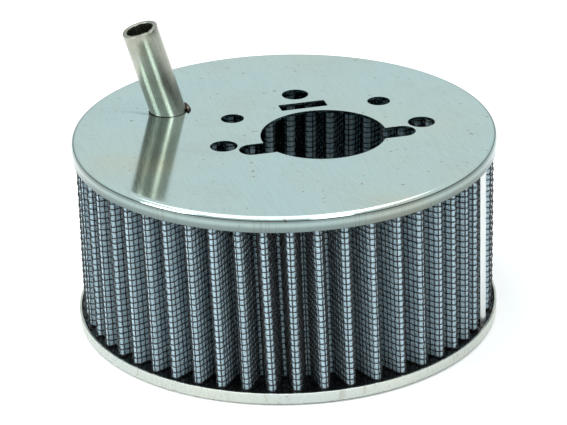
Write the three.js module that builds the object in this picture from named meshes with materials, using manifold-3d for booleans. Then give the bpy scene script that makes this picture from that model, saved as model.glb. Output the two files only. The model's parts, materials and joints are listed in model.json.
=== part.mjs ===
// Round pancake air filter for a side-draught carburettor: a pleated pack of cotton gauze between
// two wire screens, potted into a drilled mounting plate above and a shallow tray below.
// Millimetres, +Z up, origin at the centre of the tray's underside, X along the bolt line.

import * as THREE from 'three';
import { mergeVertices } from 'three/addons/utils/BufferGeometryUtils.js';
import Module from 'manifold-3d';

const wasm = await Module();
wasm.setup();

// Driving dimensions
const overallHeight = 69;
const seatGap = 0.3;
const roundSegments = 72;
const holeSegments = 32;

const plate = { radius: 74.5, sheet: 1.0, rimHeight: 5.5, cornerRadius: 1.8 };
const tray = { radius: 75, sheet: 0.8, rimHeight: 4.5, cornerRadius: 1.5 };

// Hole pattern of the carburettor flange, measured from the bore centre.
const flange = {
  bore: { x: 12.1, y: -8.5, radius: 22 },
  bolt: { spacing: 71.4, radius: 4.8 },
  ear: { spacing: 54, rise: -5.9, width: 9.2 },
  vent: { spacing: 54, rise: 23.4, radius: 4.1 },
  slot: { length: 17, rise: 27.7, width: 5.6 },
  topHole: { rise: 38.7, radius: 4.8 },
};

const pipe = {
  x: -35.1, y: 29.2, radius: 6.35, boreRadius: 4.75, lengthAbove: 33.4, lengthBelow: 5,
  leanDegrees: 15.5, leanTowardDegrees: 181, deburr: 0.4,
};
const filletWeld = { leg: 3 };
const tackWeld = { beadRadius: 0.9, fromDegrees: -25, toDegrees: 40, steps: 8 };

// The pack: screen, four plies, screen, counted inward from the outer face.
const pleats = {
  count: 52, crestRadius: 73.2, depth: 10.8, crestWidth: 3.2, valleyWidth: 1.6,
  crestDegrees: -102.6, twistDegrees: -1.2, seamIndex: 10,
};
// Round this pleat the folds stand a little further counterclockwise than even spacing.
const crowding = { pleat: 5.3, spread: 2.9, degrees: 2.4 };
const layers = { screen: 0.3, ply: 0.16, gap: 0.06, plyCount: 4 };
const pointsPerPleat = 4;
const potting = { innerRadius: 57.5, grip: 2, topDepth: 3.9 };
const seamStrip = { sheet: 0.4, legLength: 2.4 };

// Heights that follow from the driving dimensions
const plateUnderside = overallHeight - plate.sheet;
const bottomPottingBase = tray.sheet + seatGap;
const bottomPottingFace = tray.rimHeight - 0.4;
const topPottingBack = plateUnderside - seatGap;
const topPottingFace = topPottingBack - potting.topDepth;
const packBottom = bottomPottingFace - potting.grip;
const packTop = topPottingFace + potting.grip;
const packMiddle = (packBottom + packTop) / 2;
const packThickness = 2 * layers.screen + layers.plyCount * layers.ply + (layers.plyCount + 1) * layers.gap;

const steel = new THREE.MeshStandardMaterial({ color: 0xb9cac6, roughness: 0.28, metalness: 1 });
const pipeSteel = new THREE.MeshStandardMaterial({ color: 0x8f9183, roughness: 0.25, metalness: 1 });
const weldMetal = new THREE.MeshStandardMaterial({ color: 0x5a4c3d, roughness: 0.6, metalness: 0.8 });
const coatedWire = new THREE.MeshStandardMaterial({ color: 0x17191b, roughness: 0.45, metalness: 0.2 });
const cotton = new THREE.MeshStandardMaterial({ color: 0xc8dde6, roughness: 0.95, metalness: 0 });
const stripAluminium = new THREE.MeshStandardMaterial({ color: 0xd9dcdd, roughness: 0.3, metalness: 1 });
const polyurethane = new THREE.MeshStandardMaterial({ color: 0x0c0c0d, roughness: 0.25, metalness: 0 });

const part = new THREE.Group();

function addPiece(name, geometry, material, parent = part) {
  const mesh = new THREE.Mesh(geometry, material);
  mesh.name = name;
  parent.add(mesh);
  return mesh;
}

// Solid modelling helpers

function toSolid(geometry) {
  const bare = geometry.clone();
  bare.deleteAttribute('normal');
  bare.deleteAttribute('uv');
  const merged = mergeVertices(bare, 1e-4);
  const index = merged.index.array;
  const triangles = [];
  for (let i = 0; i < index.length; i += 3) {
    const [a, b, c] = [index[i], index[i + 1], index[i + 2]];
    if (a !== b && b !== c && c !== a) {
      triangles.push(a, b, c);
    }
  }
  return new wasm.Manifold(new wasm.Mesh({
    numProp: 3,
    vertProperties: new Float32Array(merged.attributes.position.array),
    triVerts: new Uint32Array(triangles),
  }));
}

function toGeometry(solid) {
  const mesh = solid.getMesh();
  const geometry = new THREE.BufferGeometry();
  geometry.setAttribute('position', new THREE.BufferAttribute(mesh.vertProperties, 3));
  geometry.setIndex(new THREE.BufferAttribute(mesh.triVerts, 1));
  geometry.computeVertexNormals();
  return geometry;
}

function cut(geometry, cutters) {
  let solid = toSolid(geometry);
  for (const cutter of cutters) {
    solid = solid.subtract(toSolid(cutter));
  }
  return toGeometry(solid);
}

// A profile of [radius, height] points, interior on its left, turned about +Z.
function revolve(profile, segments = roundSegments) {
  const points = profile.map(([radius, height]) => new THREE.Vector2(radius, height));
  return new THREE.LatheGeometry(points, segments).rotateX(Math.PI / 2);
}

function closedProfile(profile) {
  return [...profile, profile[0]];
}

function prism(shape, bottom, top) {
  const geometry = new THREE.ExtrudeGeometry(shape, {
    depth: top - bottom, bevelEnabled: false, curveSegments: holeSegments / 2,
  });
  return geometry.translate(0, 0, bottom);
}

// Quarter bend between two sheet faces, from one angle to the other in degrees.
function bend(centreRadius, centreHeight, radius, fromDegrees, toDegrees, steps = 3) {
  const points = [];
  for (let i = 0; i <= steps; i += 1) {
    const angle = THREE.MathUtils.degToRad(fromDegrees + ((toDegrees - fromDegrees) * i) / steps);
    points.push([centreRadius + radius * Math.cos(angle), centreHeight + radius * Math.sin(angle)]);
  }
  return points;
}

// Breather pipe frame: its foot on the plate's upper face, local +Z along the leaning pipe.
const lean = THREE.MathUtils.degToRad(pipe.leanDegrees);
const leanToward = THREE.MathUtils.degToRad(pipe.leanTowardDegrees);
const leanAxis = new THREE.Vector3(-Math.sin(leanToward), Math.cos(leanToward), 0);

function makePipeGroup() {
  const group = new THREE.Group();
  group.position.set(pipe.x, pipe.y, overallHeight);
  group.quaternion.setFromAxisAngle(leanAxis, lean);
  group.updateMatrix();
  return group;
}

const pipeGroup = makePipeGroup();
part.add(pipeGroup);

// Mounting plate

function discHole(x, y, radius) {
  const shape = new THREE.Shape().absarc(x, y, radius, 0, 2 * Math.PI, false);
  return prism(shape, plateUnderside - 1, overallHeight + 1);
}

// Straight slot along X with round ends, given between the centres of its ends.
function roundedSlot(centreX, centreY, spacing, width) {
  const shape = new THREE.Shape();
  shape.absarc(centreX + spacing / 2, centreY, width / 2, -Math.PI / 2, Math.PI / 2, false);
  shape.absarc(centreX - spacing / 2, centreY, width / 2, Math.PI / 2, Math.PI * 1.5, false);
  shape.closePath();
  return prism(shape, plateUnderside - 1, overallHeight + 1);
}

function squareSlot(centreX, centreY, length, width) {
  const slot = new THREE.BoxGeometry(length, width, plate.sheet + 2);
  return slot.translate(centreX, centreY, overallHeight - plate.sheet / 2);
}

function pipeClearance() {
  const shape = new THREE.Shape().absarc(0, 0, pipe.radius + seatGap, 0, 2 * Math.PI, false);
  return prism(shape, -pipe.lengthBelow, pipe.lengthBelow).applyMatrix4(pipeGroup.matrix);
}

function makeMountingPlate() {
  const bendCentre = plate.radius - plate.cornerRadius;
  const bendHeight = overallHeight - plate.cornerRadius;
  const innerBend = plate.cornerRadius - plate.sheet;
  const rimBottom = overallHeight - plate.rimHeight;
  const cup = revolve([
    [0, plateUnderside],
    ...bend(bendCentre, bendHeight, innerBend, 90, 0, 2),
    [plate.radius - plate.sheet, rimBottom],
    [plate.radius, rimBottom],
    ...bend(bendCentre, bendHeight, plate.cornerRadius, 0, 90),
    [0, overallHeight],
  ]);
  const { bore, bolt, ear, vent, slot, topHole } = flange;
  const cutters = [
    discHole(bore.x, bore.y, bore.radius),
    roundedSlot(bore.x, bore.y + ear.rise, ear.spacing, ear.width),
    squareSlot(bore.x, bore.y + slot.rise, slot.length, slot.width),
    discHole(bore.x, bore.y + topHole.rise, topHole.radius),
    pipeClearance(),
  ];
  for (const side of [-1, 1]) {
    cutters.push(discHole(bore.x + (side * bolt.spacing) / 2, bore.y, bolt.radius));
    cutters.push(discHole(bore.x + (side * vent.spacing) / 2, bore.y + vent.rise, vent.radius));
  }
  return cut(cup, cutters);
}

// Breather pipe and its welds

function makeBreatherPipe() {
  const { radius, boreRadius, lengthAbove, lengthBelow, deburr } = pipe;
  return revolve(closedProfile([
    [boreRadius, -lengthBelow],
    [radius, -lengthBelow],
    [radius, lengthAbove - deburr],
    [radius - deburr, lengthAbove],
    [boreRadius + deburr, lengthAbove],
    [boreRadius, lengthAbove - deburr],
  ]), holeSegments);
}

// Pieces that hug the leaning pipe but sit flat to the plate are made upright and sheared.
function leanWithPipe(geometry) {
  const slope = Math.tan(lean);
  const shear = new THREE.Matrix4().makeShear(
    0, 0, 0, 0, slope * Math.cos(leanToward), slope * Math.sin(leanToward),
  );
  return geometry.applyMatrix4(shear);
}

const pipeFootRadius = pipe.radius / Math.cos(lean) + seatGap;

function makeFilletWeld() {
  const rootHeight = -plate.sheet - seatGap;
  return leanWithPipe(revolve(closedProfile([
    [pipeFootRadius, rootHeight],
    [pipeFootRadius, rootHeight - filletWeld.leg],
    [pipeFootRadius + filletWeld.leg, rootHeight],
  ]), holeSegments));
}

function makeTackWeld() {
  const { beadRadius, fromDegrees, toDegrees, steps } = tackWeld;
  const centreLine = new THREE.EllipseCurve(
    0, 0, pipeFootRadius + beadRadius, pipeFootRadius + beadRadius,
    THREE.MathUtils.degToRad(fromDegrees), THREE.MathUtils.degToRad(toDegrees), false,
  );
  const route = new THREE.CatmullRomCurve3(
    centreLine.getPoints(steps).map((point) => new THREE.Vector3(point.x, point.y, beadRadius + seatGap)),
  );
  const section = new THREE.Shape().absarc(0, 0, beadRadius, 0, 2 * Math.PI, false);
  return leanWithPipe(new THREE.ExtrudeGeometry(section, {
    steps, curveSegments: 4, bevelEnabled: false, extrudePath: route,
  }));
}

// Pleated pack

function polar(radius, angle) {
  return new THREE.Vector2(radius * Math.cos(angle), radius * Math.sin(angle));
}

// Direction of crest k, or of the valley after it for k + 0.5.
function pleatAngle(k) {
  const extra = crowding.degrees * Math.exp(-(((k - crowding.pleat) / crowding.spread) ** 2));
  return THREE.MathUtils.degToRad(pleats.crestDegrees + (k * 360) / pleats.count + extra);
}

// Outer face of the pack at mid height: flat crests and valleys, counterclockwise.
function pleatOutline() {
  const valleyRadius = pleats.crestRadius - pleats.depth;
  const halfCrest = pleats.crestWidth / 2 / pleats.crestRadius;
  const halfValley = pleats.valleyWidth / 2 / valleyRadius;
  const points = [];
  for (let k = 0; k < pleats.count; k += 1) {
    const crest = pleatAngle(k);
    const valley = pleatAngle(k + 0.5);
    const stripRoom = k === pleats.seamIndex ? seamStrip.sheet + seatGap : 0;
    points.push(polar(pleats.crestRadius - stripRoom, crest - halfCrest));
    points.push(polar(pleats.crestRadius - stripRoom, crest + halfCrest));
    points.push(polar(valleyRadius, valley - halfValley));
    points.push(polar(valleyRadius, valley + halfValley));
  }
  return points;
}

// Moves every edge of a counterclockwise outline inward by the same distance.
function inset(points, distance) {
  return points.map((point, i) => {
    const before = point.clone().sub(points.at(i - 1)).normalize();
    const after = points[(i + 1) % points.length].clone().sub(point).normalize();
    const normalBefore = new THREE.Vector2(-before.y, before.x);
    const normalAfter = new THREE.Vector2(-after.y, after.x);
    const miter = distance / (1 + normalBefore.dot(normalAfter));
    return point.clone().addScaledVector(normalBefore.add(normalAfter), miter);
  });
}

// The pack leans round its axis from foot to head, so every point turns with its height.
function twistWithPack(geometry) {
  const turnPerMillimetre = THREE.MathUtils.degToRad(pleats.twistDegrees) / (packTop - packBottom);
  const position = geometry.attributes.position;
  const point = new THREE.Vector3();
  const axis = new THREE.Vector3(0, 0, 1);
  for (let i = 0; i < position.count; i += 1) {
    point.fromBufferAttribute(position, i);
    point.applyAxisAngle(axis, (point.z - packMiddle) * turnPerMillimetre);
    position.setXYZ(i, point.x, point.y, point.z);
  }
  return geometry;
}

const outline = pleatOutline();

function pleatedLayer(outerInset, innerInset, bottom, top) {
  const shape = new THREE.Shape(inset(outline, outerInset));
  shape.holes.push(new THREE.Path(inset(outline, innerInset)));
  return twistWithPack(prism(shape, bottom, top));
}

function addPleatedPack() {
  let depth = 0;
  const addLayer = (name, thickness, material) => {
    addPiece(name, pleatedLayer(depth, depth + thickness, packBottom, packTop), material);
    depth += thickness + layers.gap;
  };
  addLayer('outer_screen', layers.screen, coatedWire);
  for (let ply = 1; ply <= layers.plyCount; ply += 1) {
    addLayer(`gauze_ply_${ply}`, layers.ply, cotton);
  }
  addLayer('inner_screen', layers.screen, coatedWire);
}

// One face of the strip that grips the two ends of the pack: over the seam pleat's crest and partly
// down both flanks, at a distance outside the pack.
function seamStripFace(distance) {
  const face = inset(outline, -distance);
  const crestStart = pleats.seamIndex * pointsPerPleat;
  const [before, left, right, after] = face.slice(crestStart - 1, crestStart + 3);
  const legEnd = (corner, valley) => corner.clone().lerp(
    valley, seamStrip.legLength / corner.distanceTo(valley),
  );
  return [legEnd(left, before), left, right, legEnd(right, after)];
}

function makeSeamStrip() {
  const outerFace = seamStripFace(seatGap + seamStrip.sheet);
  const innerFace = seamStripFace(seatGap);
  const shape = new THREE.Shape([...outerFace, ...innerFace.reverse()]);
  return twistWithPack(prism(shape, bottomPottingFace + seatGap, topPottingFace - seatGap));
}

// Potting: a cast ring with the pleated groove that the pack is sunk into.

function pottingRing(bottom, top, outerRadius, grooveBottom, grooveTop) {
  const ring = revolve(closedProfile([
    [potting.innerRadius, bottom], [outerRadius, bottom], [outerRadius, top], [potting.innerRadius, top],
  ]));
  return cut(ring, [pleatedLayer(-seatGap, packThickness + seatGap, grooveBottom, grooveTop)]);
}

function makeBottomPotting() {
  const outerRadius = tray.radius - tray.sheet - seatGap;
  return pottingRing(
    bottomPottingBase, bottomPottingFace, outerRadius, packBottom - seatGap, bottomPottingFace + 1,
  );
}

function makeTopPotting() {
  const outerRadius = plate.radius - plate.sheet - seatGap;
  return pottingRing(
    topPottingFace, topPottingBack, outerRadius, topPottingFace - 1, packTop + seatGap,
  );
}

// Base tray

function makeBaseTray() {
  const bendCentre = tray.radius - tray.cornerRadius;
  const innerBend = tray.cornerRadius - tray.sheet;
  return revolve([
    [0, 0],
    ...bend(bendCentre, tray.cornerRadius, tray.cornerRadius, -90, 0),
    [tray.radius, tray.rimHeight],
    [tray.radius - tray.sheet, tray.rimHeight],
    ...bend(bendCentre, tray.cornerRadius, innerBend, 0, -90, 2),
    [0, tray.sheet],
  ]);
}

addPiece('base_tray', makeBaseTray(), steel);
addPiece('bottom_potting', makeBottomPotting(), polyurethane);
addPleatedPack();
addPiece('seam_strip', makeSeamStrip(), stripAluminium);
addPiece('top_potting', makeTopPotting(), polyurethane);
addPiece('mounting_plate', makeMountingPlate(), steel);
addPiece('breather_pipe', makeBreatherPipe(), pipeSteel, pipeGroup);
for (const [name, geometry] of [['pipe_weld', makeFilletWeld()], ['pipe_tack_weld', makeTackWeld()]]) {
  addPiece(name, geometry, weldMetal).position.set(pipe.x, pipe.y, overallHeight);
}

export default part;
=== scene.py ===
import bmesh
import bpy
import json
import math
import numpy as np
from mathutils import Matrix, Vector
from mathutils.kdtree import KDTree


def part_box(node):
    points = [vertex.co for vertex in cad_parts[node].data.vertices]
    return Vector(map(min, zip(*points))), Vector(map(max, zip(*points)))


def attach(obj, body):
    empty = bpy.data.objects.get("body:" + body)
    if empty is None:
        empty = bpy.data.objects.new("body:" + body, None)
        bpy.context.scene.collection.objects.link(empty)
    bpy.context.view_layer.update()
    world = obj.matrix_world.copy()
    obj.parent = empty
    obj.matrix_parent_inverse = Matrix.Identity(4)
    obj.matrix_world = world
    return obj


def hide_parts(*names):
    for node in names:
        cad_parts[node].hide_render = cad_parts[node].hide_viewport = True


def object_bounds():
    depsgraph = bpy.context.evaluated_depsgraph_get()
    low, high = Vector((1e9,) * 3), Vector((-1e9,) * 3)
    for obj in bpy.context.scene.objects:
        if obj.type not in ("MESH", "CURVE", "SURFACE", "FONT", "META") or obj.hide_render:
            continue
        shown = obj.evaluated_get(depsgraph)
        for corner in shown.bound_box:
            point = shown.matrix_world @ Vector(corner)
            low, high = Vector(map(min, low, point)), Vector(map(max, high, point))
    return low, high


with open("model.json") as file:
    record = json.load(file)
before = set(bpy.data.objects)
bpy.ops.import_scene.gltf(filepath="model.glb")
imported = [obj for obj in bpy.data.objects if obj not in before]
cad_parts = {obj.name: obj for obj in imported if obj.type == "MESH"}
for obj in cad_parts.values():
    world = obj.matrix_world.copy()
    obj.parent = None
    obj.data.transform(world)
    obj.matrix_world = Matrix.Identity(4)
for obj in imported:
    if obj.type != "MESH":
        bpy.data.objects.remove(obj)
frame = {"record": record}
cadLow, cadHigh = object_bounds()

mm = 0.001  # every length below is written in millimetres and multiplied by this once
random = np.random.default_rng(52)
openings = {item["name"]: np.array(item["box_m"]) / mm for item in frame["record"]["physics"]["openings"]}


# Noise and wave scale that puts one feature every so many millimetres.
def every(size):
    return 1 / (size * mm)


def nodeBox(node):
    low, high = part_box(node)
    return np.array(low) / mm, np.array(high) / mm


plateLow, plateHigh = nodeBox("mounting_plate")
trayLow, trayHigh = nodeBox("base_tray")
packLow, packHigh = nodeBox("outer_screen")
pottingLow, pottingHigh = nodeBox("bottom_potting")
topPottingLow, topPottingHigh = nodeBox("top_potting")


def linear(hexColour):
    channels = [int(hexColour[i:i + 2], 16) / 255 for i in (1, 3, 5)]
    return [c / 12.92 if c <= 0.04045 else ((c + 0.055) / 1.055) ** 2.4 for c in channels] + [1.0]


def newMaterial(name):
    material = bpy.data.materials.new(name)
    material.use_nodes = True
    material.node_tree.nodes.clear()
    return material


# Adds one node: settings are its properties, inputs are socket values or the sockets that feed them.
def addNode(material, kind, settings=None, inputs=None):
    node = material.node_tree.nodes.new(kind)
    for key, value in (settings or {}).items():
        setattr(node, key, value)
    for key, value in (inputs or {}).items():
        socket = node.inputs[key]
        if isinstance(value, bpy.types.NodeSocket):
            material.node_tree.links.new(value, socket)
        else:
            socket.default_value = value
    return node


# Colour ramp from (position, hex or grey) stops.
def addRamp(material, factor, stops):
    ramp = addNode(material, "ShaderNodeValToRGB", inputs={"Fac": factor})
    elements = ramp.color_ramp.elements
    for index, (position, colour) in enumerate(stops):
        element = elements[index] if index < len(elements) else elements.new(position)
        element.position = position
        element.color = linear(colour) if isinstance(colour, str) else (colour, colour, colour, 1)
    return ramp.outputs["Color"]


def finishMaterial(material, surface):
    addNode(material, "ShaderNodeOutputMaterial", inputs={"Surface": surface.outputs[0]})
    return material


# Sheet stainless, belt polished then rubbed: a clear but slightly brushed reflection, with long
# fine scratches in arcs and a few brown handling specks.
def polishedStainless(name, settings):
    m = newMaterial(name)
    where = addNode(m, "ShaderNodeTexCoord").outputs["Object"]
    scratchScale = (every(settings["scratchSpacing"]), every(settings["scratchLength"]), every(2.5))
    stretched = addNode(m, "ShaderNodeMapping", inputs={
        "Vector": where, "Rotation": (0, 0, math.radians(settings["scratchDegrees"])),
        "Scale": scratchScale}).outputs[0]
    scratches = addNode(m, "ShaderNodeTexNoise", inputs={
        "Vector": stretched, "Scale": 1.0, "Detail": 5.0, "Roughness": 0.65}).outputs["Fac"]
    fromArcCentre = addNode(m, "ShaderNodeVectorMath", {"operation": "DISTANCE"}, {
        0: where, 1: settings["arcCentre"]}).outputs["Value"]
    arcs = addNode(m, "ShaderNodeTexNoise", {"noise_dimensions": "1D"}, {
        "W": fromArcCentre, "Scale": every(0.38), "Detail": 4.0, "Roughness": 0.7}).outputs["Fac"]
    patches = addNode(m, "ShaderNodeTexNoise", inputs={
        "Vector": where, "Scale": every(62), "Detail": 2.0, "Roughness": 0.5}).outputs["Fac"]
    rubbed = addNode(m, "ShaderNodeTexNoise", inputs={
        "Vector": where, "Scale": every(22), "Detail": 3.0}).outputs["Fac"]
    specks = addNode(m, "ShaderNodeTexNoise", inputs={
        "Vector": where, "Scale": every(2.4), "Detail": 2.0, "Roughness": 0.6}).outputs["Fac"]
    speckMask = addRamp(m, specks, [(0.0, 0.0), (0.68, 0.0), (0.74, 0.8)])
    tone = addRamp(m, patches, [(0.3, settings["cool"]), (0.55, settings["base"]), (0.75, settings["warm"])])
    scratchTone = addRamp(m, scratches, [(0.25, 0.92), (0.5, 1.0), (0.8, 1.05)])
    toned = addNode(m, "ShaderNodeMix", {"data_type": "RGBA", "blend_type": "MULTIPLY"}, {
        0: 1.0, 6: tone, 7: scratchTone}).outputs[2]
    swirls = addRamp(m, arcs, [(0.36, 0.7), (0.46, 0.0)])
    worn = addRamp(m, rubbed, [(0.48, 0.0), (0.66, 0.8)])
    swirlMask = addNode(m, "ShaderNodeMath", {"operation": "MULTIPLY"}, {0: swirls, 1: worn}).outputs[0]
    toned = addNode(m, "ShaderNodeMix", {"data_type": "RGBA"}, {
        0: swirlMask, 6: toned, 7: linear(settings["swirl"])}).outputs[2]
    colour = addNode(m, "ShaderNodeMix", {"data_type": "RGBA"}, {
        0: speckMask, 6: toned, 7: linear(settings["speck"])}).outputs[2]
    # down from the face height the colour is darkened in bands by the rim ramp: painted shade and painted
    # reflections on the rim
    height = addNode(m, "ShaderNodeSeparateXYZ", inputs={0: where}).outputs["Z"]
    drop = addNode(m, "ShaderNodeMath", {"operation": "SUBTRACT"}, {
        0: settings["faceHeight"], 1: height}).outputs[0]
    share = addNode(m, "ShaderNodeMath", {"operation": "DIVIDE"}, {
        0: drop, 1: settings["rimDepth"]}).outputs[0]
    colour = addNode(m, "ShaderNodeMix", {"data_type": "RGBA", "blend_type": "MULTIPLY"}, {
        0: 1.0, 6: colour, 7: addRamp(m, share, settings["paintedRimShade"])}).outputs[2]
    mixedMarks = addNode(m, "ShaderNodeMix", inputs={0: rubbed, 2: scratches, 3: arcs}).outputs[0]
    roughness = addNode(m, "ShaderNodeMapRange", inputs={
        0: mixedMarks, 1: 0.25, 2: 0.8, 3: settings["roughness"][0], 4: settings["roughness"][1]}).outputs[0]
    bump = addNode(m, "ShaderNodeBump", inputs={
        "Height": mixedMarks, "Strength": settings["bump"], "Distance": 0.00003}).outputs[0]
    return finishMaterial(m, addNode(m, "ShaderNodeBsdfPrincipled", inputs={
        "Base Color": colour, "Metallic": 1.0, "Roughness": roughness, "Normal": bump}))


# Cold-drawn steel tube: bright, with draw lines along its length, which smear reflections sideways.
def drawnSteelTube():
    m = newMaterial("coldDrawnSteelTube")
    where = addNode(m, "ShaderNodeTexCoord").outputs["Object"]
    # the lines are drawn coarser than real ones
    alongTube = addNode(m, "ShaderNodeMapping", inputs={
        "Vector": where, "Scale": (every(0.55), every(0.55), every(40))}).outputs[0]
    lines = addNode(m, "ShaderNodeTexNoise", inputs={
        "Vector": alongTube, "Scale": 1.0, "Detail": 4.0, "Roughness": 0.6}).outputs["Fac"]
    mottle = addNode(m, "ShaderNodeTexNoise", inputs={
        "Vector": where, "Scale": every(0.67), "Detail": 3.0, "Roughness": 0.6}).outputs["Fac"]
    stain = addNode(m, "ShaderNodeTexNoise", inputs={
        "Vector": where, "Scale": every(11), "Detail": 3.0}).outputs["Fac"]
    tone = addRamp(m, stain, [(0.3, "#8F9084"), (0.5, "#9C9E92"), (0.75, "#ABADA2")])
    grain = addRamp(m, mottle, [(0.25, 0.86), (0.5, 1.0), (0.8, 1.1)])
    colour = addNode(m, "ShaderNodeMix", {"data_type": "RGBA", "blend_type": "MULTIPLY"}, {
        0: 1.0, 6: tone, 7: grain}).outputs[2]
    roughness = addNode(m, "ShaderNodeMapRange", inputs={
        0: lines, 1: 0.3, 2: 0.75, 3: 0.2, 4: 0.32}).outputs[0]
    bump = addNode(m, "ShaderNodeBump", inputs={
        "Height": lines, "Strength": 0.25, "Distance": 0.00004}).outputs[0]
    return finishMaterial(m, addNode(m, "ShaderNodeBsdfPrincipled", inputs={
        "Base Color": colour, "Metallic": 1.0, "Roughness": roughness, "Normal": bump}))


# Weld metal left as it cooled: brown and grey oxide over rippled, half-bright steel.
def oxidisedWeld():
    m = newMaterial("oxidisedWeldMetal")
    where = addNode(m, "ShaderNodeTexCoord").outputs["Object"]
    scale = addNode(m, "ShaderNodeTexNoise", inputs={
        "Vector": where, "Scale": every(1.4), "Detail": 4.0, "Roughness": 0.7}).outputs["Fac"]
    colour = addRamp(m, scale, [(0.3, "#15120E"), (0.5, "#3A3229"), (0.66, "#9A9284")])
    roughness = addNode(m, "ShaderNodeMapRange", inputs={
        0: scale, 1: 0.3, 2: 0.7, 3: 0.75, 4: 0.35}).outputs[0]
    bump = addNode(m, "ShaderNodeBump", inputs={
        "Height": scale, "Strength": 0.6, "Distance": 0.0003}).outputs[0]
    return finishMaterial(m, addNode(m, "ShaderNodeBsdfPrincipled", inputs={
        "Base Color": colour, "Metallic": 0.7, "Roughness": roughness, "Normal": bump}))


# Woven wire, dipped in black epoxy: a soft gloss over round wires, slightly lumpy where it ran.
def epoxyCoatedWire():
    m = newMaterial("epoxyCoatedWovenWire")
    where = addNode(m, "ShaderNodeTexCoord").outputs["Object"]
    lumps = addNode(m, "ShaderNodeTexNoise", inputs={
        "Vector": where, "Scale": every(0.7), "Detail": 2.0}).outputs["Fac"]
    colour = addRamp(m, lumps, [(0.35, "#0C0D0E"), (0.7, "#1B1E20")])
    bump = addNode(m, "ShaderNodeBump", inputs={
        "Height": lumps, "Strength": 0.3, "Distance": 0.00005}).outputs[0]
    return finishMaterial(m, addNode(m, "ShaderNodeBsdfPrincipled", inputs={
        "Base Color": colour, "Roughness": 0.28, "IOR": 1.55, "Normal": bump}))


# Surgical-type cotton gauze, plain weave: matt, pale, with a soft fuzz on each thread.
def wovenCottonGauze():
    m = newMaterial("wovenCottonGauze")
    cloth = addNode(m, "ShaderNodeUVMap", {"uv_map": "clothMap"}).outputs[0]
    threadPitch = 0.77  # drawn coarser than real gauze
    threadScale = every(threadPitch) * 2 * math.pi / 20  # a wave node repeats every 2 pi / 20 at scale 1

    def threadWave(direction):
        return addNode(m, "ShaderNodeTexWave", {
            "wave_type": "BANDS", "bands_direction": direction, "wave_profile": "SIN"}, {
            "Vector": cloth, "Scale": threadScale,
            "Distortion": 0.6, "Detail": 2.0, "Detail Scale": 2.0}).outputs["Fac"]

    weave = addNode(m, "ShaderNodeMath", {"operation": "MAXIMUM"}, {
        0: threadWave("X"), 1: threadWave("Y")}).outputs[0]
    fuzz = addNode(m, "ShaderNodeTexNoise", inputs={
        "Vector": cloth, "Scale": every(1.1), "Detail": 3.0, "Roughness": 0.7}).outputs["Fac"]
    tone = addRamp(m, weave, [(0.0, "#90BACE"), (0.5, "#BEE0EE"), (1.0, "#E4F8FE")])
    shade = addRamp(m, fuzz, [(0.3, 0.86), (0.65, 1.0)])
    colour = addNode(m, "ShaderNodeMix", {"data_type": "RGBA", "blend_type": "MULTIPLY"}, {
        0: 1.0, 6: tone, 7: shade}).outputs[2]
    bump = addNode(m, "ShaderNodeBump", inputs={
        "Height": weave, "Strength": 0.7, "Distance": 0.00015}).outputs[0]
    facing = addNode(m, "ShaderNodeBsdfPrincipled", inputs={
        "Base Color": colour, "Roughness": 0.95, "Normal": bump}).outputs[0]
    # thin cloth lets light through, so the folds are lit from behind as well
    through = addNode(m, "ShaderNodeBsdfTranslucent", inputs={"Color": colour, "Normal": bump}).outputs[0]
    return finishMaterial(m, addNode(m, "ShaderNodeMixShader", inputs={0: 0.3, 1: facing, 2: through}))


# Cast polyurethane: glossy black skin that set level, with faint ripples and settled dust.
def castPolyurethane():
    m = newMaterial("castBlackPolyurethane")
    where = addNode(m, "ShaderNodeTexCoord").outputs["Object"]
    ripple = addNode(m, "ShaderNodeTexNoise", inputs={
        "Vector": where, "Scale": every(3.8), "Detail": 2.0}).outputs["Fac"]
    dust = addNode(m, "ShaderNodeTexNoise", inputs={
        "Vector": where, "Scale": every(0.45), "Detail": 2.0}).outputs["Fac"]
    colour = addRamp(m, dust, [(0.6, "#08090A"), (0.78, "#3A3C3C")])
    roughness = addNode(m, "ShaderNodeMapRange", inputs={
        0: dust, 1: 0.5, 2: 0.8, 3: 0.12, 4: 0.4}).outputs[0]
    bump = addNode(m, "ShaderNodeBump", inputs={
        "Height": ripple, "Strength": 0.35, "Distance": 0.0002}).outputs[0]
    return finishMaterial(m, addNode(m, "ShaderNodeBsdfPrincipled", inputs={
        "Base Color": colour, "Roughness": roughness, "IOR": 1.5, "Normal": bump}))


# Mill-finish aluminium strip, folded and crimped: bright, with rolling lines along the strip.
def foldedAluminium():
    m = newMaterial("millFinishAluminiumStrip")
    where = addNode(m, "ShaderNodeTexCoord").outputs["Object"]
    along = addNode(m, "ShaderNodeMapping", inputs={
        "Vector": where, "Scale": (every(0.33), every(0.33), every(17))}).outputs[0]
    lines = addNode(m, "ShaderNodeTexNoise", inputs={
        "Vector": along, "Scale": 1.0, "Detail": 3.0}).outputs["Fac"]
    colour = addRamp(m, lines, [(0.3, "#C9CDCC"), (0.7, "#E6E8E7")])
    roughness = addNode(m, "ShaderNodeMapRange", inputs={
        0: lines, 1: 0.3, 2: 0.7, 3: 0.4, 4: 0.55}).outputs[0]
    bump = addNode(m, "ShaderNodeBump", inputs={
        "Height": lines, "Strength": 0.2, "Distance": 0.00004}).outputs[0]
    return finishMaterial(m, addNode(m, "ShaderNodeBsdfPrincipled", inputs={
        "Base Color": colour, "Metallic": 1.0, "Roughness": roughness, "Normal": bump}))


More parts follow.
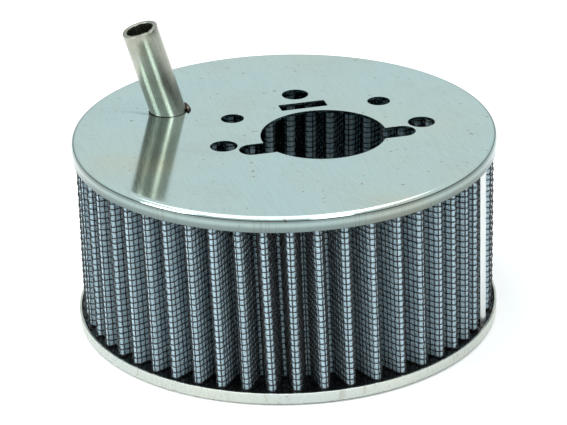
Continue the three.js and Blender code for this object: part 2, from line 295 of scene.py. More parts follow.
stainless = polishedStainless("polishedStainlessSheet", {
    "base": "#BFD3CE", "cool": "#BBD3D2", "warm": "#CBCDBB", "speck": "#8A7A62", "swirl": "#A39C86",
    "scratchDegrees": 20, "scratchSpacing": 0.67, "scratchLength": 9, "arcCentre": (-0.11, -0.16, 0.069),
    "roughness": (0.06, 0.15), "bump": 0.12,
    # dark bands down the rim stand in for reflections of darker surroundings than this pale studio
    "faceHeight": 0.069, "rimDepth": 0.0055,
    "paintedRimShade": [(0.0, 1.0), (0.14, 1.0), (0.22, 0.33), (0.33, 0.33), (0.45, 0.56), (0.58, 0.54),
                 (0.72, 0.34), (0.98, 0.27)]})
pressedSteel = polishedStainless("pressedSatinSteelSheet", {
    "base": "#DEE4DA", "cool": "#D6DFDB", "warm": "#E2E2D2", "speck": "#8F846F", "swirl": "#B5B09E",
    "scratchDegrees": 0, "scratchSpacing": 0.55, "scratchLength": 18, "arcCentre": (0.02, 0.15, 0),
    "roughness": (0.22, 0.36), "bump": 0.15,
    # the tray's colour is dimmed, and a little more towards its bottom: painted shade
    "faceHeight": 0.0045, "rimDepth": 0.0045, "paintedRimShade": [(0.0, 0.84), (1.0, 0.74)]})
tubeSteel = drawnSteelTube()
weldMetal = oxidisedWeld()
coatedWire = epoxyCoatedWire()
gauze = wovenCottonGauze()
polyurethane = castPolyurethane()
stripAluminium = foldedAluminium()
print("materials made")


# vertices (n, 3) in millimetres; quads (m, 4) and triangles (k, 3) of vertex indices
def newMesh(name, vertices, quads, triangles=None):
    mesh = bpy.data.meshes.new(name)
    quads = np.asarray(quads, dtype=np.int32).reshape(-1, 4)
    triangles = np.zeros((0, 3), np.int32) if triangles is None else np.asarray(triangles, np.int32)
    loops = np.concatenate([quads.ravel(), triangles.ravel()])
    sizes = np.concatenate([np.full(len(quads), 4), np.full(len(triangles), 3)]).astype(np.int32)
    starts = np.concatenate([[0], np.cumsum(sizes)[:-1]]).astype(np.int32)
    mesh.vertices.add(len(vertices))
    mesh.vertices.foreach_set("co", (np.asarray(vertices, dtype=np.float32) * mm).ravel())
    mesh.loops.add(len(loops))
    mesh.loops.foreach_set("vertex_index", loops)
    mesh.polygons.add(len(sizes))
    mesh.polygons.foreach_set("loop_start", starts)
    mesh.polygons.foreach_set("use_smooth", np.ones(len(sizes), dtype=bool))
    mesh.update(calc_edges=True)
    mesh.validate()
    return mesh


def addPiece(name, mesh, material, nodes):
    piece = bpy.data.objects.new(name, mesh)
    bpy.context.scene.collection.objects.link(piece)
    mesh.materials.clear()
    mesh.materials.append(material)
    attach(piece, "root")
    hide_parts(*nodes)
    return piece


def gridQuads(rows, columns, closeRows=False, closeColumns=False, flip=False):
    i, j = np.meshgrid(np.arange(rows if closeRows else rows - 1),
                       np.arange(columns if closeColumns else columns - 1), indexing="ij")
    nextI, nextJ = (i + 1) % rows, (j + 1) % columns
    quads = np.stack([i * columns + j, nextI * columns + j, nextI * columns + nextJ, i * columns + nextJ], -1)
    quads = quads.reshape(-1, 4)
    return quads[:, ::-1] if flip else quads


# Turns a closed or axis-to-axis profile of (radius, height) about Z, interior on the profile's left.
def revolve(profile, segments, closed=False):
    profile = np.array(profile, dtype=float)
    angles = np.arange(segments) * 2 * math.pi / segments
    ring = np.stack([np.cos(angles), np.sin(angles)], -1)
    vertices = np.concatenate([
        profile[None, :, :1] * ring[:, None, :],
        np.broadcast_to(profile[None, :, 1:], (segments, len(profile), 1))], -1)
    return vertices.reshape(-1, 3), gridQuads(segments, len(profile), True, closed)


def bend(centre, radius, fromDegrees, toDegrees, steps):
    angles = np.radians(np.linspace(fromDegrees, toDegrees, steps + 1))
    return [(centre[0] + radius * math.cos(a), centre[1] + radius * math.sin(a)) for a in angles]


def setSmooth(mesh, degrees):
    mesh.shade_smooth()
    mesh.set_sharp_from_angle(angle=math.radians(degrees))


def bakedModifiers(piece):
    graph = bpy.context.evaluated_depsgraph_get()
    mesh = bpy.data.meshes.new_from_object(piece.evaluated_get(graph))
    old = piece.data
    piece.modifiers.clear()
    piece.data = mesh
    bpy.data.meshes.remove(old)
    return mesh


plateShape = {
    "sheet": 1.0, "bendRadius": 1.8, "segments": 256, "deburr": 0.12, "pipeClearance": 0.4,
    "bore": 22.0, "bolt": 4.8, "ear": 4.6, "halfEar": 27.0, "vent": 4.1, "topHole": 4.8,
    "slotLength": 17.0, "slotWidth": 5.6, "middleRing": 8.0, "bendMargin": 1.2, "lip": 0.15,
    "punchReach": 4.0, "pipePunchReach": 5.0,
}
trayShape = {"sheet": 0.8, "bendRadius": 1.5, "segments": 256, "lip": 0.12, "flatEnd": 6.0}
flatness = 1e-7  # metres a face's middle may stand off the plane it belongs to
pipeShape = {
    "radius": 6.35, "bore": 4.75, "below": 5.0, "above": 33.4, "deburr": 0.35,
    "footX": -35.1, "footY": 29.2, "leanDegrees": 15.5, "leanTowardDegrees": 181.0, "segments": 96,
    "unevenReach": 1.5, "endWave": 0.05, "fineWave": 0.03,
    "nickDepth": 0.35, "nickDegrees": -65, "nickWidth": 0.09,
}


def openingCentre(name):
    return openings[name].mean(axis=0)[:2]


def pipeMatrix():
    toward = math.radians(pipeShape["leanTowardDegrees"])
    axis = (-math.sin(toward), math.cos(toward), 0)
    foot = Vector((pipeShape["footX"], pipeShape["footY"], plateHigh[2])) * mm
    return Matrix.Translation(foot) @ Matrix.Rotation(math.radians(pipeShape["leanDegrees"]), 4, axis)


def roundCutter(centre, radius, segments=96):
    angles = np.arange(segments) * 2 * math.pi / segments
    return [(centre[0] + radius * math.cos(a), centre[1] + radius * math.sin(a)) for a in angles]


def slotCutter(first, second, radius, segments=48):
    right = [(second[0] + radius * math.cos(a), second[1] + radius * math.sin(a))
             for a in np.linspace(-math.pi / 2, math.pi / 2, segments)]
    left = [(first[0] + radius * math.cos(a), first[1] + radius * math.sin(a))
            for a in np.linspace(math.pi / 2, 1.5 * math.pi, segments)]
    return right + left


# Oblong punched with slightly rounded corners.
def oblongCutter(centre, length, width, corner=0.5):
    points = []
    for signX, signY, start in ((1, 1, 0), (-1, 1, 90), (-1, -1, 180), (1, -1, 270)):
        middle = (centre[0] + signX * (length / 2 - corner), centre[1] + signY * (width / 2 - corner))
        points += bend(middle, corner, start, start + 90, 4)
    return points


def prismObject(outline, bottom, top):
    count = len(outline)
    vertices = [(x, y, bottom) for x, y in outline] + [(x, y, top) for x, y in outline]
    faces = [[i, (i + 1) % count, count + (i + 1) % count, count + i] for i in range(count)]
    faces += [list(range(count))[::-1], [count + i for i in range(count)]]
    mesh = bpy.data.meshes.new("cutter")
    mesh.from_pydata([Vector(v) * mm for v in vertices], [], faces)
    cutter = bpy.data.objects.new("cutter", mesh)
    bpy.context.scene.collection.objects.link(cutter)
    return cutter


def makeMountingPlate():
    radius, top, rimBottom = plateHigh[0], plateHigh[2], plateLow[2]
    sheet, outerBend = plateShape["sheet"], plateShape["bendRadius"]
    centre = (radius - outerBend, top - outerBend)
    flatEdge = radius - outerBend - plateShape["bendMargin"]  # keeps the flat face's shading out of the bend
    lip, middleRing = plateShape["lip"], plateShape["middleRing"]
    profile = [
        (middleRing, top - sheet), (flatEdge, top - sheet), *bend(centre, outerBend - sheet, 90, 0, 6),
        (radius - sheet, rimBottom + lip), (radius - sheet + lip, rimBottom), (radius - lip, rimBottom),
        (radius, rimBottom + lip), (radius, top - outerBend - 1.0),
        *bend(centre, outerBend, 0, 90, 12), (flatEdge, top), (middleRing, top)]
    vertices, quads = revolve(profile, plateShape["segments"])
    mesh = newMesh("mountingPlate", vertices, quads)
    # the disc inside the middle ring is closed with two polygons
    columns = len(profile)
    underRing = [i * columns for i in range(plateShape["segments"])]
    upperRing = [i * columns + columns - 1 for i in range(plateShape["segments"])]
    bm = bmesh.new()
    bm.from_mesh(mesh)
    bm.verts.ensure_lookup_table()
    bm.faces.new([bm.verts[i] for i in reversed(underRing)])
    bm.faces.new([bm.verts[i] for i in upperRing])
    for level in (top, top - sheet):
        inner = [f for f in bm.faces if abs(f.calc_center_median().z - level * mm) < flatness
                 and f.calc_center_median().to_2d().length < flatEdge * mm]
        bmesh.ops.dissolve_faces(bm, faces=inner)
    bm.to_mesh(mesh)
    bm.free()
    bore = openingCentre("carburettor_bore")
    earLeft = openingCentre("ear_slot_left")
    earRight = openingCentre("ear_slot_right")
    halfEar = plateShape["halfEar"]
    outlines = [
        roundCutter(bore, plateShape["bore"], 160),
        slotCutter((bore[0] - halfEar, earLeft[1]), (bore[0] + halfEar, earRight[1]), plateShape["ear"]),
        oblongCutter(openingCentre("vent_slot"), plateShape["slotLength"], plateShape["slotWidth"]),
        roundCutter(openingCentre("top_hole"), plateShape["topHole"]),
    ]
    for hole in ("bolt", "vent"):
        for side in ("left", "right"):
            outlines.append(roundCutter(openingCentre(f"{hole}_hole_{side}"), plateShape[hole]))
    reach, pipeReach = plateShape["punchReach"], plateShape["pipePunchReach"]
    cutters = [prismObject(outline, top - reach, top + reach) for outline in outlines]
    pipeHole = roundCutter((0, 0), pipeShape["radius"] + plateShape["pipeClearance"])
    pipeCutter = prismObject(pipeHole, -pipeReach, pipeReach)
    pipeCutter.data.transform(pipeMatrix())
    cutters.append(pipeCutter)
    piece = addPiece("mountingPlate", mesh, stainless, ["mounting_plate"])
    for cutter in cutters:
        cutModifier = piece.modifiers.new("punch", "BOOLEAN")
        cutModifier.operation = "DIFFERENCE"
        cutModifier.solver = "EXACT"
        cutModifier.object = cutter
    deburr = piece.modifiers.new("deburr", "BEVEL")
    deburr.width = plateShape["deburr"] * mm
    deburr.segments = 2
    deburr.limit_method = "ANGLE"
    deburr.angle_limit = math.radians(50)
    mesh = bakedModifiers(piece)
    for cutter in cutters:
        bpy.data.meshes.remove(cutter.data)
    setSmooth(mesh, 20)
    return piece


makeMountingPlate()
print("mounting plate made")


def makeBreatherPipe():
    s = pipeShape
    profile = [
        (s["bore"], -s["below"]), (s["radius"], -s["below"]),
        *[(s["radius"], z) for z in np.linspace(-s["below"] + 2, s["above"] - s["deburr"], 12)],
        *bend((s["radius"] - s["deburr"], s["above"] - s["deburr"]), s["deburr"], 0, 90, 4)[1:],
        *bend((s["bore"] + s["deburr"], s["above"] - s["deburr"]), s["deburr"], 90, 180, 4),
        *[(s["bore"], z) for z in np.linspace(s["above"] - s["deburr"] - 1, -s["below"] + 1, 12)]]
    vertices, quads = revolve(profile, s["segments"], closed=True)
    # the cut end is a little uneven, with a nick in its front lip
    angle = np.arctan2(vertices[:, 1], vertices[:, 0])
    nearEnd = np.clip((vertices[:, 2] - s["above"] + s["unevenReach"]) / s["unevenReach"], 0, 1)
    uneven = s["endWave"] * np.sin(3 * angle + 0.6) + s["fineWave"] * np.sin(11 * angle)
    fromNick = np.angle(np.exp(1j * (angle - math.radians(s["nickDegrees"]))))
    nick = -s["nickDepth"] * np.exp(-(fromNick / s["nickWidth"]) ** 2)
    vertices[:, 2] += nearEnd * (uneven + nick)
    mesh = newMesh("breatherPipe", vertices, quads)
    setSmooth(mesh, 35)
    piece = addPiece("breatherPipe", mesh, tubeSteel, ["breather_pipe"])
    piece.matrix_world = pipeMatrix()
    return piece


# A bead laid round the pipe's foot: a rippled arc with lumps, flat underneath.
def makeTackWeld():
    s = {
        "fromDegrees": -28, "toDegrees": 42, "radius": 0.92, "steps": 60, "sides": 16,
        "pipeGap": 0.1, "standOff": 0.75, "stretchUp": 1.15, "lift": 0.35, "plateGap": 0.02,
    }
    footRadius = pipeShape["radius"] / math.cos(math.radians(pipeShape["leanDegrees"])) + s["pipeGap"]
    t = np.linspace(0, 1, s["steps"])
    angle = np.radians(s["fromDegrees"] + (s["toDegrees"] - s["fromDegrees"]) * t)
    # two lumps with a waist between them, tapering to each end
    lumps = 0.55 + 0.45 * np.abs(np.sin(2 * math.pi * t + 0.3))
    taper = np.sqrt(np.clip(np.sin(math.pi * t), 0.02, 1))
    ripple = 1 + 0.12 * np.sin(2 * math.pi * t * 9)
    bead = s["radius"] * (lumps * taper) * ripple
    around = np.linspace(0, 2 * math.pi, s["sides"], endpoint=False)
    ringRadius = footRadius + s["standOff"]
    across = bead[:, None] * np.cos(around)[None]
    up = np.maximum(bead[:, None] * np.sin(around)[None] * s["stretchUp"] + s["lift"], s["plateGap"])
    radial = ringRadius + across
    vertices = np.stack([radial * np.cos(angle)[:, None], radial * np.sin(angle)[:, None], up], -1)
    vertices = vertices.reshape(-1, 3)
    toward = math.radians(pipeShape["leanTowardDegrees"])
    slope = math.tan(math.radians(pipeShape["leanDegrees"]))
    vertices[:, 0] += pipeShape["footX"] + vertices[:, 2] * slope * math.cos(toward)
    vertices[:, 1] += pipeShape["footY"] + vertices[:, 2] * slope * math.sin(toward)
    vertices[:, 2] += plateHigh[2]
    quads = gridQuads(s["steps"], s["sides"], False, True)
    ends = []
    for row in (0, s["steps"] - 1):
        ring = [row * s["sides"] + k for k in range(s["sides"])]
        ring = ring if row else ring[::-1]
        ends += [[ring[0], ring[k + 1], ring[k]] for k in range(1, s["sides"] - 1)]
    mesh = newMesh("pipeTackWeld", vertices, quads, ends)
    return addPiece("pipeTackWeld", mesh, weldMetal, ["pipe_tack_weld"])


def makeFilletWeld():
    s = {"leg": 3.0, "segments": 144, "ripples": 40}
    footRadius = pipeShape["radius"] / math.cos(math.radians(pipeShape["leanDegrees"])) - 0.1
    underside = plateHigh[2] - plateShape["sheet"] + 0.02
    arc = bend((footRadius + s["leg"], underside - s["leg"]), s["leg"] * 0.93, 90, 180, 8)
    profile = [
        (footRadius, underside), (footRadius, underside - s["leg"]), *arc[::-1],
        (footRadius + s["leg"], underside)]
    vertices, quads = revolve(profile, s["segments"], closed=True)
    angle = np.arctan2(vertices[:, 1], vertices[:, 0])
    radius = np.hypot(vertices[:, 0], vertices[:, 1])
    swell = 0.12 * np.sin(s["ripples"] * angle + 1.5 * radius) * (radius > footRadius + 0.2)
    vertices[:, :2] *= (1 + swell / radius)[:, None]
    toward = math.radians(pipeShape["leanTowardDegrees"])
    slope = math.tan(math.radians(pipeShape["leanDegrees"]))
    drop = vertices[:, 2] - plateHigh[2]
    vertices[:, 0] += pipeShape["footX"] + drop * slope * math.cos(toward)
    vertices[:, 1] += pipeShape["footY"] + drop * slope * math.sin(toward)
    mesh = newMesh("pipeFilletWeld", vertices, quads)
    setSmooth(mesh, 60)
    return addPiece("pipeFilletWeld", mesh, weldMetal, ["pipe_weld"])


makeBreatherPipe()
makeTackWeld()
makeFilletWeld()
print("breather pipe and welds made")


def makeBaseTray():
    s = trayShape
    radius, top = trayHigh[0], trayHigh[2]
    centre = (radius - s["bendRadius"], s["bendRadius"])
    lip, flatEnd, wall = s["lip"], radius - s["flatEnd"], radius - s["sheet"]
    pinhole = 0.001  # keeps the profile just off the axis
    profile = [
        (pinhole, 0), (flatEnd, 0), *bend(centre, s["bendRadius"], -90, 0, 10),
        (radius, top - lip), (radius - lip, top), (wall + lip, top), (wall, top - lip),
        *bend(centre, s["bendRadius"] - s["sheet"], 0, -90, 6), (flatEnd, s["sheet"]), (pinhole, s["sheet"])]
    vertices, quads = revolve(profile, s["segments"], closed=True)
    mesh = newMesh("baseTray", vertices, quads)
    setSmooth(mesh, 30)
    return addPiece("baseTray", mesh, pressedSteel, ["base_tray"])


makeBaseTray()
print("base tray made")


pleatShape = {
    "count": 52, "crestRadius": 73.2, "depth": 10.8, "crestFold": 1.6, "valleyFold": 0.8,
    "crestDegrees": -102.6, "twistDegrees": -1.2, "seamPleat": 10, "seamRoom": 0.7,
    "crowdedPleat": 5.3, "crowdedSpread": 2.9, "crowdedDegrees": 2.4,
    "crestPoints": 11, "valleyPoints": 8, "flankPoints": 7,
    "angleScatter": 0.09, "radiusScatter": 0.12, "bow": 0.06,
}
pleatScatter = {
    key: random.normal(0, 1, pleatShape["count"]).clip(-1.8, 1.8)
    for key in ("crestAngle", "valleyAngle", "crestRadius", "valleyRadius", "bow", "phase", "tilt")
}


# Round one pleat the folds stand a little further counterclockwise than even spacing.
def pleatAngle(index):
    s = pleatShape
    extra = s["crowdedDegrees"] * np.exp(-((index - s["crowdedPleat"]) / s["crowdedSpread"]) ** 2)
    return s["crestDegrees"] + index * 360 / s["count"] + extra


# Outer face of the pack at the given heights: points and outward normals along one closed loop.
# Each crest and valley is an arc, and each flank the straight line that touches both.
def pleatOutlines(heights):
    s, scatter = pleatShape, pleatScatter
    heights = np.asarray(heights, dtype=float)[:, None]
    middle = (packLow[2] + packHigh[2]) / 2
    share = (heights - middle) / (packHigh[2] - packLow[2])
    index = np.arange(s["count"])[None]
    bow = s["bow"] * scatter["bow"] * np.cos(math.pi * share + scatter["phase"])
    turn = s["twistDegrees"] * share + s["angleScatter"] * scatter["tilt"] * share
    crestAngle = pleatAngle(index) + s["angleScatter"] * scatter["crestAngle"] + turn + bow
    valleyAngle = pleatAngle(index + 0.5) + s["angleScatter"] * scatter["valleyAngle"] + turn + bow
    seamRoom = np.where(index == s["seamPleat"], s["seamRoom"], 0)
    crestScatter = s["radiusScatter"] * np.abs(scatter["crestRadius"])
    crestRadius = s["crestRadius"] - seamRoom - crestScatter - s["crestFold"]
    valleyScatter = s["radiusScatter"] * scatter["valleyRadius"]
    valleyRadius = s["crestRadius"] - s["depth"] + valleyScatter + s["valleyFold"]
    crest = crestRadius * np.exp(1j * np.radians(crestAngle))
    valley = valleyRadius * np.exp(1j * np.radians(valleyAngle))
    reach = s["crestFold"] + s["valleyFold"]
    toValley = valley - crest
    leave = np.angle(toValley) - np.arccos(reach / np.abs(toValley))
    toCrest = np.roll(crest, -1, axis=1) - valley
    arrive = np.angle(toCrest) - math.pi + np.arccos(reach / np.abs(toCrest))
    arriveHere = np.roll(arrive, 1, axis=1)
    sweep = np.mod(leave - arriveHere, 2 * math.pi)
    roundCrest = np.linspace(0, 1, s["crestPoints"])
    crestNormal = np.exp(1j * (arriveHere[..., None] + sweep[..., None] * roundCrest))
    crestPoint = crest[..., None] + s["crestFold"] * crestNormal
    turnBack = np.mod(leave - arrive, 2 * math.pi)
    roundValley = np.linspace(0, 1, s["valleyPoints"])
    valleyNormal = np.exp(1j * (leave[..., None] - turnBack[..., None] * roundValley))
    valleyPoint = valley[..., None] - s["valleyFold"] * valleyNormal
    along = np.linspace(0, 1, s["flankPoints"] + 2)[1:-1]
    down = crestPoint[..., -1:] + (valleyPoint[..., :1] - crestPoint[..., -1:]) * along
    nextCrest = np.roll(crestPoint[..., :1], -1, axis=1)
    up = valleyPoint[..., -1:] + (nextCrest - valleyPoint[..., -1:]) * along
    downNormal = np.broadcast_to(np.exp(1j * leave)[..., None], down.shape)
    upNormal = np.broadcast_to(np.exp(1j * arrive)[..., None], up.shape)
    points = np.concatenate([crestPoint, down, valleyPoint, up], -1).reshape(len(heights), -1)
    normals = np.concatenate([crestNormal, downNormal, valleyNormal, upNormal], -1).reshape(len(heights), -1)
    return points, normals


def loopLengths(points):
    steps = np.abs(np.roll(points, -1, axis=-1) - points)
    return np.concatenate([np.zeros(points.shape[:-1] + (1,)), np.cumsum(steps, -1)], -1)


# Points and normals at given shares (0 to 1) of each loop's length.
def atShares(points, normals, shares):
    lengths = loopLengths(points)
    pointRows, normalRows = [], []
    for loop, normal, length in zip(points, normals, lengths):
        where = np.mod(shares, 1) * length[-1]
        loop, normal = np.append(loop, loop[0]), np.append(normal, normal[0])
        pointRows.append(np.interp(where, length, loop.real) + 1j * np.interp(where, length, loop.imag))
        blended = np.interp(where, length, normal.real) + 1j * np.interp(where, length, normal.imag)
        normalRows.append(blended / np.abs(blended))
    return np.array(pointRows), np.array(normalRows)


def makeGauze():
    s = {"outerFace": 0.34, "innerFace": 0.96, "levels": 22}
    heights = np.linspace(packLow[2] + 0.2, packHigh[2] - 0.2, s["levels"])
    points, normals = pleatOutlines(heights)
    count = points.shape[1]
    shells = []
    for depth in (s["outerFace"], s["innerFace"]):
        face = points - depth * normals
        shells.append(np.stack([face.real, face.imag, np.broadcast_to(heights[:, None], face.shape)], -1))
    vertices = np.concatenate([shell.reshape(-1, 3) for shell in shells])
    outer = gridQuads(s["levels"], count, False, True, flip=True)
    inner = gridQuads(s["levels"], count, False, True) + s["levels"] * count
    around = np.arange(count)
    after = (around + 1) % count
    offset = s["levels"] * count
    last = (s["levels"] - 1) * count
    foot = np.stack([around, offset + around, offset + after, after], -1)
    head = np.stack([last + after, last + offset + after, last + offset + around, last + around], -1)
    quads = np.concatenate([outer, inner, foot, head])
    mesh = newMesh("gauze", vertices, quads)
    lengths = loopLengths(points)[:, :-1]
    u = np.concatenate([lengths.ravel(), lengths.ravel()]) * mm
    v = vertices[:, 2] * mm
    loopVertex = np.empty(len(mesh.loops), dtype=np.int32)
    mesh.loops.foreach_get("vertex_index", loopVertex)
    cloth = mesh.uv_layers.new(name="clothMap")
    uv = np.stack([u[loopVertex], v[loopVertex]], -1)
    wide = np.abs(uv.reshape(-1, 4, 2)[:, :, 0].max(1) - uv.reshape(-1, 4, 2)[:, :, 0].min(1)) > 0.1
    fixed = uv.reshape(-1, 4, 2)
    total = loopLengths(points)[:, -1].mean() * mm
    fixed[wide, :, 0] = np.where(fixed[wide, :, 0] < 0.1, fixed[wide, :, 0] + total, fixed[wide, :, 0])
    cloth.data.foreach_set("uv", fixed.astype(np.float32).ravel())
    nodes = [f"gauze_ply_{ply}" for ply in (1, 2, 3, 4)]
    return addPiece("pleatedGauze", mesh, gauze, nodes)


# Round wires along rows of points: paths and outward normals are (wires, steps, 3).
def wireMesh(name, paths, normals, radius, closed, sides=4):
    ahead = np.roll(paths, -1, axis=1) - np.roll(paths, 1, axis=1)
    if not closed:
        ahead[:, 0] = paths[:, 1] - paths[:, 0]
        ahead[:, -1] = paths[:, -1] - paths[:, -2]
    ahead /= np.linalg.norm(ahead, axis=-1, keepdims=True)
    sideways = np.cross(ahead, normals)
    sideways /= np.linalg.norm(sideways, axis=-1, keepdims=True)
    outward = np.cross(sideways, ahead)
    around = np.arange(sides) * 2 * math.pi / sides
    ring = np.cos(around)[:, None] * outward[:, :, None] + np.sin(around)[:, None] * sideways[:, :, None]
    vertices = (paths[:, :, None] + radius * ring).reshape(-1, 3)
    wires, steps = paths.shape[:2]
    one = gridQuads(steps, sides, closed, True, flip=True)
    quads = (one[None] + (np.arange(wires) * steps * sides)[:, None, None]).reshape(-1, 4)
    if not closed and sides == 4:
        caps = np.array([[0, 1, 2, 3], [(steps - 1) * sides + k for k in (3, 2, 1, 0)]])
        caps = (caps[None] + (np.arange(wires) * steps * sides)[:, None, None]).reshape(-1, 4)
        quads = np.concatenate([quads, caps])
    return newMesh(name, vertices, quads)


# Plain woven screen: hoops run round the pack and uprights run up it, each over and under the other.
def makeScreen(name, node, depth, settings):
    s = settings
    bottom, top = pottingHigh[2] - 0.6, topPottingLow[2] + 0.6
    hoopCount = int(round((top - bottom) / s["hoopPitch"]))
    hoopHeights = bottom + (np.arange(hoopCount) + 0.5) * (top - bottom) / hoopCount
    points, normals = pleatOutlines(hoopHeights)
    total = loopLengths(points)[:, -1].mean()
    uprightCount = int(round(total / s["uprightPitch"] / 2)) * 2
    steps = uprightCount * s["stepsPerWire"]
    shares = np.arange(steps) / steps
    loop, normal = atShares(points, normals, shares)
    alternate = (-1.0) ** np.arange(hoopCount)[:, None]
    wave = s["wire"] / 2 * np.cos(math.pi * shares * uprightCount)[None] * alternate
    drift = s["drift"] * np.sin(2 * math.pi * (shares[None] * 9 + random.random((hoopCount, 1))))
    drift = drift + s["drift"] * random.normal(0, 1, (hoopCount, 1))
    centre = loop - (depth - wave) * normal
    paths = np.stack([centre.real, centre.imag, hoopHeights[:, None] + drift], -1)
    flat = np.stack([normal.real, normal.imag, np.zeros(normal.shape)], -1)
    groups = np.array_split(np.arange(hoopCount), s["hoopPieces"])
    for number, rows in enumerate(groups, 1):
        mesh = wireMesh(f"{name}Hoops{number}", paths[rows], flat[rows], s["wire"] / 2, True)
        addPiece(f"{name}Hoops{number}", mesh, coatedWire, [node])
    levelStep = (top - bottom) / hoopCount / 2
    levels = bottom + np.arange(hoopCount * 2 + 1) * levelStep
    points, normals = pleatOutlines(levels)
    wander = random.normal(0, 0.05, uprightCount) / uprightCount
    loop, normal = atShares(points, normals, np.arange(uprightCount) / uprightCount + wander)
    phase = math.pi * (levels - hoopHeights[0]) / (2 * levelStep)
    wave = -s["wire"] / 2 * np.cos(phase)[:, None] * (-1.0) ** np.arange(uprightCount)[None]
    centre = loop - (depth - wave) * normal
    paths = np.stack([centre.real, centre.imag, np.broadcast_to(levels[:, None], centre.shape)], -1)
    paths = paths.transpose(1, 0, 2)
    flat = np.stack([normal.real, normal.imag, np.zeros(normal.shape)], -1).transpose(1, 0, 2)
    groups = np.array_split(np.arange(uprightCount), s["uprightPieces"])
    for number, rows in enumerate(groups, 1):
        mesh = wireMesh(f"{name}Uprights{number}", paths[rows], flat[rows], s["wire"] / 2, False)
        addPiece(f"{name}Uprights{number}", mesh, coatedWire, [node])


makeGauze()
print("gauze made")
screenShape = {
    "hoopPitch": 2.12, "uprightPitch": 1.81, "wire": 0.43, "stepsPerWire": 2, "drift": 0.05,
    "hoopPieces": 3, "uprightPieces": 3,
}
makeScreen("outerScreen", "outer_screen", 0.0, screenShape)
print("outer screen woven")
makeScreen("innerScreen", "inner_screen", 1.3, screenShape)
print("inner screen woven")


# The strip that grips the pack's two ends follows the seam pleat's crest and part of its flanks.
def makeSeamStrip():
    s = {"inner": -0.38, "outer": -0.72, "reach": 1.9, "levels": 40, "crimp": 0.06}
    heights = np.linspace(pottingHigh[2] - 0.2, topPottingLow[2] + 0.2, s["levels"])
    points, normals = pleatOutlines(heights)
    perPleat = points.shape[1] // pleatShape["count"]
    first = pleatShape["seamPleat"] * perPleat
    flank = pleatShape["flankPoints"]
    span = np.arange(first - flank, first + pleatShape["crestPoints"] + flank)
    points, normals = points[:, span], normals[:, span]
    crestMiddle = points[:, flank + pleatShape["crestPoints"] // 2]
    keep = np.abs(points - crestMiddle[:, None]).mean(0) < s["reach"]
    points, normals = points[:, keep], normals[:, keep]
    dents = s["crimp"] * np.sin(np.arange(s["levels"]) * 1.9)[:, None]
    faces = [points - depth * normals for depth in (s["outer"], s["inner"])]
    faces[0] = faces[0] + dents * normals
    section = np.concatenate([faces[0], faces[1][:, ::-1]], 1)
    count = section.shape[1]
    vertices = np.stack([section.real, section.imag, np.broadcast_to(heights[:, None], section.shape)], -1)
    quads = gridQuads(s["levels"], count, False, True, flip=True)
    half = count // 2
    pairs = np.arange(half - 1)
    foot = np.stack([pairs + 1, pairs, count - 1 - pairs, count - 2 - pairs], -1)
    head = foot[:, ::-1] + (s["levels"] - 1) * count
    mesh = newMesh("seamStrip", vertices.reshape(-1, 3), np.concatenate([quads, foot, head]))
    setSmooth(mesh, 50)
    return addPiece("seamStrip", mesh, stripAluminium, ["seam_strip"])


makeSeamStrip()
print("seam strip made")


pottingShape = {
    "innerRadius": 57.5, "metalGap": 0.02, "rows": 34, "perPleat": 20, "packMiddle": 0.78, "packHalf": 0.6,
    "climb": 0.55, "reach": 0.45, "wallClimb": 0.35, "wallReach": 0.3, "sag": 0.12, "sink": 0.15,
}


# A poured ring whose free face climbs a little where it wets the gauze and the metal wall.
def makePotting(name, node, face, back, outerRadius, upward):
    s = pottingShape
    columns = pleatShape["count"] * s["perPleat"]
    outline, normals = pleatOutlines([face])
    outline = (outline - s["packMiddle"] * normals)[0]
    tree = KDTree(len(outline))
    for i, point in enumerate(outline):
        tree.insert((point.real, point.imag, 0), i)
    tree.balance()
    radii = np.linspace(s["innerRadius"], outerRadius, s["rows"])
    angles = np.arange(columns) * 2 * math.pi / columns
    grid = radii[:, None] * np.exp(1j * angles)[None]
    gap = np.array([tree.find((p.real, p.imag, 0))[2] for p in grid.ravel()]).reshape(grid.shape)
    climb = s["climb"] * np.exp(-np.maximum(gap - s["packHalf"], 0) / s["reach"])
    climb = np.maximum(climb, s["wallClimb"] * np.exp(-(outerRadius - radii[:, None]) / s["wallReach"]))
    wander = s["sag"] * np.sin(3 * angles + 0.7)[None] * np.ones((s["rows"], 1))
    sign = 1 if upward else -1
    height = face - sign * s["sink"] + sign * (climb + wander)
    free = np.stack([grid.real, grid.imag, height], -1)
    flat = np.stack([grid.real, grid.imag, np.full(grid.shape, back)], -1)
    flat = flat[[0, -1]]
    vertices = np.concatenate([free.reshape(-1, 3), flat.reshape(-1, 3)])
    freeQuads = gridQuads(s["rows"], columns, False, True, flip=not upward)
    base = s["rows"] * columns
    around, after = np.arange(columns), (np.arange(columns) + 1) % columns
    lastRow = (s["rows"] - 1) * columns
    walls = np.concatenate([
        np.stack([around, after, base + after, base + around], -1),
        np.stack([lastRow + after, lastRow + around, base + columns + around, base + columns + after], -1),
        np.stack([base + around, base + after, base + columns + after, base + columns + around], -1)])
    walls = walls if upward else walls[:, ::-1]
    mesh = newMesh(name, vertices, np.concatenate([freeQuads, walls]))
    setSmooth(mesh, 60)
    return addPiece(name, mesh, polyurethane, [node])


trayWall = trayShape["sheet"] + pottingShape["metalGap"]
plateWall = plateShape["sheet"] + pottingShape["metalGap"]
makePotting("bottomPotting", "bottom_potting", pottingHigh[2], trayLow[2] + trayWall,
            trayHigh[0] - trayWall, True)
makePotting("topPotting", "top_potting", topPottingLow[2], plateHigh[2] - plateWall,
            plateHigh[0] - plateWall, False)
print("potting poured")


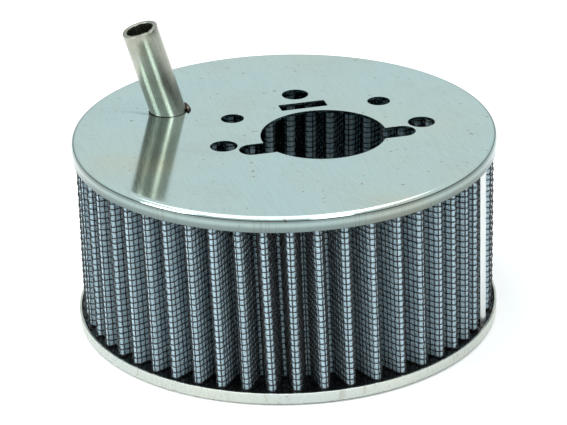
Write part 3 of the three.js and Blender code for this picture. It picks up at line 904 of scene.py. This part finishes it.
studio = {
    "floorSize": 3.0, "floorColour": "#F4F5F5", "worldStrength": 1.0,
    "roomTones": [(0.0, "#8E9494"), (0.16, "#A2A8A8"), (0.32, "#E6EEF0"), (0.6, "#F2F6F8")],
    "overheadPower": 20.0, "leftPower": 8.0, "rightPower": 3.2,
}
cameraPlace = {
    "azimuth": -14.0, "elevation": 24.55, "roll": 1.5, "distance": 0.9, "lens": 157.97,
    "acrossOffset": 0.00172, "upOffset": -0.03352,
}


def makeFloor():
    size = studio["floorSize"]
    mesh = bpy.data.meshes.new("studioFloor")
    corners = [(-size, -size, 0), (size, -size, 0), (size, size, 0), (-size, size, 0)]
    mesh.from_pydata(corners, [], [(0, 1, 2, 3)])
    floor = bpy.data.objects.new("studioFloor", mesh)
    bpy.context.scene.collection.objects.link(floor)
    floor.location.z = cadLow.z - 0.0001
    m = newMaterial("mattPaperSweep")
    finishMaterial(m, addNode(m, "ShaderNodeBsdfPrincipled", inputs={
        "Base Color": linear(studio["floorColour"]), "Roughness": 0.9, "Specular IOR Level": 0.2}))
    mesh.materials.append(m)


def addAreaLight(name, position, target, size, power):
    light = bpy.data.lights.new(name, "AREA")
    light.shape = "RECTANGLE"
    light.size, light.size_y = size
    light.energy = power
    lamp = bpy.data.objects.new(name, light)
    bpy.context.scene.collection.objects.link(lamp)
    lamp.location = position
    lamp.rotation_euler = (Vector(target) - Vector(position)).to_track_quat("-Z", "Y").to_euler()


# Directions seen from the camera: across is to its right, forward is away from it along the floor.
def cameraAxes():
    azimuth = math.radians(cameraPlace["azimuth"])
    across = Vector((math.cos(azimuth), math.sin(azimuth), 0))
    forward = Vector((-math.sin(azimuth), math.cos(azimuth), 0))
    return across, forward


def makeLights():
    across, forward = cameraAxes()
    up = Vector((0, 0, 1))
    middle = Vector((0, 0, 0.05))
    addAreaLight("overheadSoftbox", up * 1.5 - forward * 0.1, middle, (2.0, 2.0), studio["overheadPower"])
    leftPlace = -across * 1.1 - forward * 0.5 + up * 0.62
    addAreaLight("leftSoftbox", leftPlace, middle, (0.6, 0.6), studio["leftPower"])
    rightPlace = across * 0.5 - forward * 1.1 + up * 0.68
    addAreaLight("rightSoftbox", rightPlace, middle, (0.45, 0.5), studio["rightPower"])
    world = bpy.data.worlds.new("studioRoom")
    bpy.context.scene.world = world
    world.use_nodes = True
    world.node_tree.nodes.clear()
    # the room is pale above and dim near the horizon, which the rims and the pipe pick up
    height = addNode(world, "ShaderNodeSeparateXYZ", inputs={
        0: addNode(world, "ShaderNodeTexCoord").outputs["Generated"]}).outputs["Z"]
    tone = addRamp(world, height, studio["roomTones"])
    background = addNode(world, "ShaderNodeBackground", inputs={
        "Color": tone, "Strength": studio["worldStrength"]})
    addNode(world, "ShaderNodeOutputWorld", inputs={"Surface": background.outputs[0]})


def makeCamera():
    s = cameraPlace
    across, forward = cameraAxes()
    elevation, roll = math.radians(s["elevation"]), math.radians(s["roll"])
    look = forward * math.cos(elevation) - Vector((0, 0, 1)) * math.sin(elevation)
    upright = forward * math.sin(elevation) + Vector((0, 0, 1)) * math.cos(elevation)
    right = across * math.cos(roll) - upright * math.sin(roll)
    top = across * math.sin(roll) + upright * math.cos(roll)
    camera = bpy.data.objects.new("camera", bpy.data.cameras.new("camera"))
    bpy.context.scene.collection.objects.link(camera)
    camera.data.lens = s["lens"]
    camera.data.sensor_width = 36
    place = -s["acrossOffset"] * right - s["upOffset"] * top - s["distance"] * look
    rotation = Matrix((right, top, -look)).transposed().to_4x4()
    camera.matrix_world = Matrix.Translation(place) @ rotation
    camera.data.clip_start, camera.data.clip_end = 0.05, 20
    bpy.context.scene.camera = camera


makeFloor()
makeLights()
makeCamera()
bpy.context.scene.view_settings.view_transform = "Standard"
print("studio made")
